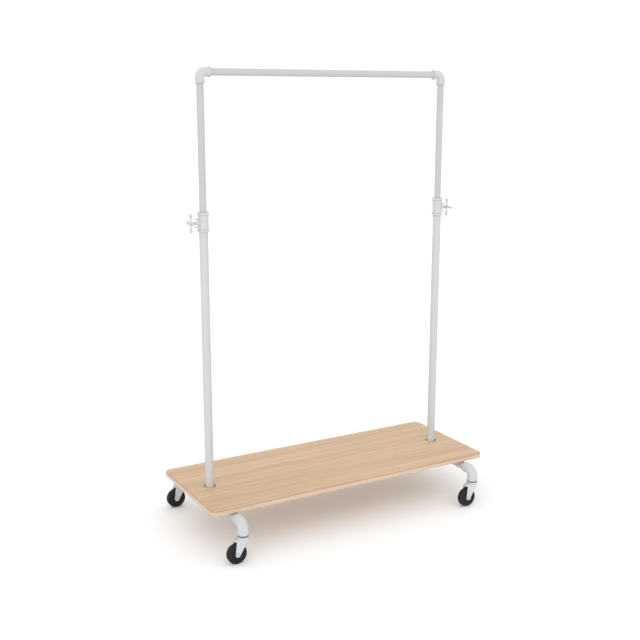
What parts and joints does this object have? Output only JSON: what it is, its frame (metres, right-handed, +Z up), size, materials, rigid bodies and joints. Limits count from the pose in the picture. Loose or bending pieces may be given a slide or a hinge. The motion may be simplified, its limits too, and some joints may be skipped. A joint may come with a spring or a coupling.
{
  "type": "rolling garment rack",
  "caption": "Height-adjustable rolling garment rack: straight hanging rail on telescopic posts with hand clamps, rising through a flat wood deck carried on swivel casters.",
  "frame": {"origin": "on the floor, under the middle of the deck", "axes": "+X along the hanging rail, from the left post to the right one as seen from the front; +Y from the front of the deck to the back; +Z up"},
  "size_m": [1.219, 0.623, 1.7332],
  "materials": {
    "deck_wood": "light beech laminate with fine grain along the length, matte",
    "edge_band": "pale beech edge banding, matte",
    "coated_steel": "light grey powder coat, satin",
    "fork_steel": "light silver-grey coat on pressed steel, satin",
    "zinc": "zinc plated",
    "dark_plastic": "dark grey nylon",
    "wheel_rubber": "black, matte"
  },
  "bodies": {
    "base": {"base_panel": "deck_wood", "edge_band": "edge_band", "tee_left": "coated_steel", "tee_right": "coated_steel", "cross_tube_left_front": "coated_steel", "cross_tube_left_rear": "coated_steel", "cross_tube_right_front": "coated_steel", "cross_tube_right_rear": "coated_steel", "lower_elbow_left_front": "coated_steel", "lower_elbow_left_rear": "coated_steel", "lower_elbow_right_front": "coated_steel", "lower_elbow_right_rear": "coated_steel", "pipe_straps_left": "zinc", "pipe_straps_right": "zinc", "strap_screws": "zinc", "lower_tube_left": "coated_steel", "lower_tube_right": "coated_steel", "height_collar_left": "coated_steel", "height_collar_right": "coated_steel", "collar_set_screws_left": "coated_steel", "collar_set_screws_right": "coated_steel", "guide_bush_left": "dark_plastic", "guide_bush_right": "dark_plastic", "stem_socket_left_front": "dark_plastic", "stem_socket_left_rear": "dark_plastic", "stem_socket_right_front": "dark_plastic", "stem_socket_right_rear": "dark_plastic", "caster_stem_left_front": "zinc", "caster_stem_left_rear": "zinc", "caster_stem_right_front": "zinc", "caster_stem_right_rear": "zinc"},
    "upper_frame": {"upper_tube_left": "coated_steel", "upper_tube_right": "coated_steel", "tube_glide_left": "dark_plastic", "tube_glide_right": "dark_plastic", "top_elbow_left": "coated_steel", "top_elbow_right": "coated_steel", "hanging_rail": "coated_steel"},
    "clamp_left": {"clamp_pad_left": "zinc"},
    "handle_left": {"clamp_screw_left": "zinc", "cross_handle_left": "coated_steel"},
    "clamp_right": {"clamp_pad_right": "zinc"},
    "handle_right": {"clamp_screw_right": "zinc", "cross_handle_right": "coated_steel"},
    "caster_left_front": {"caster_fork_left_front": "fork_steel", "axle_bolt_left_front": "zinc"},
    "roller_left_front": {"wheel_left_front": "wheel_rubber", "wheel_bush_left_front": "zinc"},
    "caster_left_rear": {"caster_fork_left_rear": "fork_steel", "axle_bolt_left_rear": "zinc"},
    "roller_left_rear": {"wheel_left_rear": "wheel_rubber", "wheel_bush_left_rear": "zinc"},
    "caster_right_front": {"caster_fork_right_front": "fork_steel", "axle_bolt_right_front": "zinc"},
    "roller_right_front": {"wheel_right_front": "wheel_rubber", "wheel_bush_right_front": "zinc"},
    "caster_right_rear": {"caster_fork_right_rear": "fork_steel", "axle_bolt_right_rear": "zinc"},
    "roller_right_rear": {"wheel_right_rear": "wheel_rubber", "wheel_bush_right_rear": "zinc"}
  },
  "joints": [
    {"name": "height_slide", "type": "slide", "parent": "base", "child": "upper_frame", "axis": [0, 0, 1], "range_m": [-0.44, 0.3]},
    {"name": "clamp_slide_left", "type": "slide", "parent": "base", "child": "clamp_left", "axis": [-1, 0, 0], "range_m": [0, 0.0045]},
    {"name": "handle_turn_left", "type": "hinge", "parent": "clamp_left", "child": "handle_left", "pos_m": [-0.5645, 0, 1.189], "axis": [-1, 0, 0], "range_deg": [0, 1080]},
    {"name": "clamp_slide_right", "type": "slide", "parent": "base", "child": "clamp_right", "axis": [1, 0, 0], "range_m": [0, 0.0045]},
    {"name": "handle_turn_right", "type": "hinge", "parent": "clamp_right", "child": "handle_right", "pos_m": [0.5645, 0, 1.189], "axis": [1, 0, 0], "range_deg": [0, 1080]},
    {"name": "caster_swivel_left_front", "type": "hinge", "parent": "base", "child": "caster_left_front", "pos_m": [-0.5165, -0.289, 0.1], "axis": [0, 0, 1], "continuous": true},
    {"name": "wheel_spin_left_front", "type": "hinge", "parent": "caster_left_front", "child": "roller_left_front", "pos_m": [-0.5435, -0.289, 0.0375], "axis": [0, 1, 0], "continuous": true},
    {"name": "caster_swivel_left_rear", "type": "hinge", "parent": "base", "child": "caster_left_rear", "pos_m": [-0.5165, 0.289, 0.1], "axis": [0, 0, 1], "continuous": true},
    {"name": "wheel_spin_left_rear", "type": "hinge", "parent": "caster_left_rear", "child": "roller_left_rear", "pos_m": [-0.5435, 0.289, 0.0375], "axis": [0, 1, 0], "continuous": true},
    {"name": "caster_swivel_right_front", "type": "hinge", "parent": "base", "child": "caster_right_front", "pos_m": [0.5165, -0.289, 0.1], "axis": [0, 0, 1], "continuous": true},
    {"name": "wheel_spin_right_front", "type": "hinge", "parent": "caster_right_front", "child": "roller_right_front", "pos_m": [0.4895, -0.289, 0.0375], "axis": [0, 1, 0], "continuous": true},
    {"name": "caster_swivel_right_rear", "type": "hinge", "parent": "base", "child": "caster_right_rear", "pos_m": [0.5165, 0.289, 0.1], "axis": [0, 0, 1], "continuous": true},
    {"name": "wheel_spin_right_rear", "type": "hinge", "parent": "caster_right_rear", "child": "roller_right_rear", "pos_m": [0.4895, 0.289, 0.0375], "axis": [0, 1, 0], "continuous": true}
  ],
  "couplings": [
    {"joint": "clamp_slide_left", "follows": "handle_turn_left", "m_per_rad": 0.00023873},
    {"joint": "clamp_slide_right", "follows": "handle_turn_right", "m_per_rad": 0.00023873}
  ]
}
